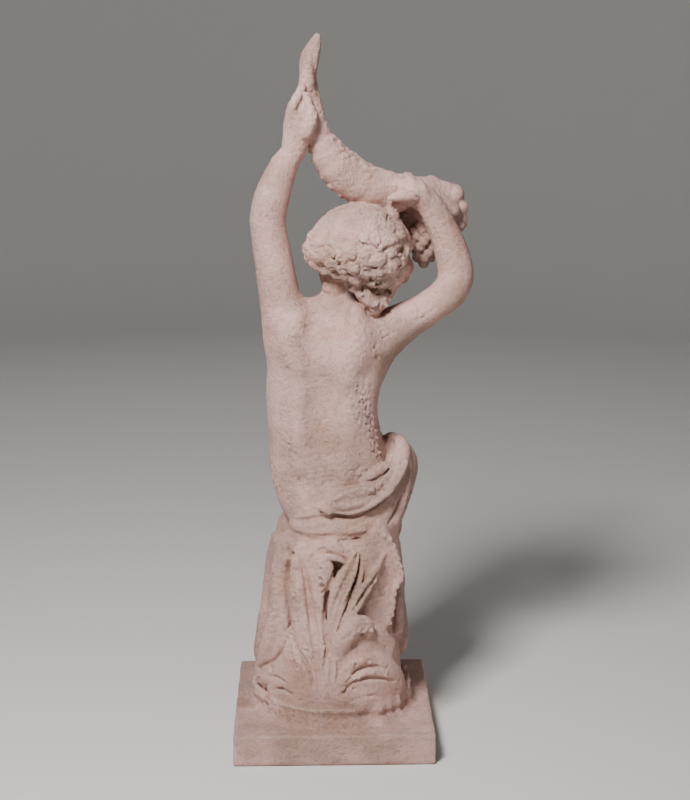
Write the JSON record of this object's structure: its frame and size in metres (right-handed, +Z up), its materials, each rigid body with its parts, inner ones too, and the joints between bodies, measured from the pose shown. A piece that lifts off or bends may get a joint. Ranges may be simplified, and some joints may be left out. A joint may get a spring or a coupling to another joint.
{
  "type": "cherub garden statue",
  "caption": "Cast-stone garden statue of a seated cherub holding a horn of plenty over its head, on a leafy stump and square plinth.",
  "frame": {"origin": "middle of the square plinth's underside, where the statue stands on the ground", "axes": "+Z up to the horn's tip; the figure faces -Y, so its back is on +Y; its left, raised arm is on +X"},
  "size_m": [0.2453, 0.205, 0.719],
  "materials": {
    "cast_stone": "bare cast stone, pale pinkish beige, dull, with fine air-bubble pits, sandy patches and ochre stains in the hollows"
  },
  "bodies": {
    "root": {"cherub_statue": "cast_stone"}
  },
  "joints": []
}
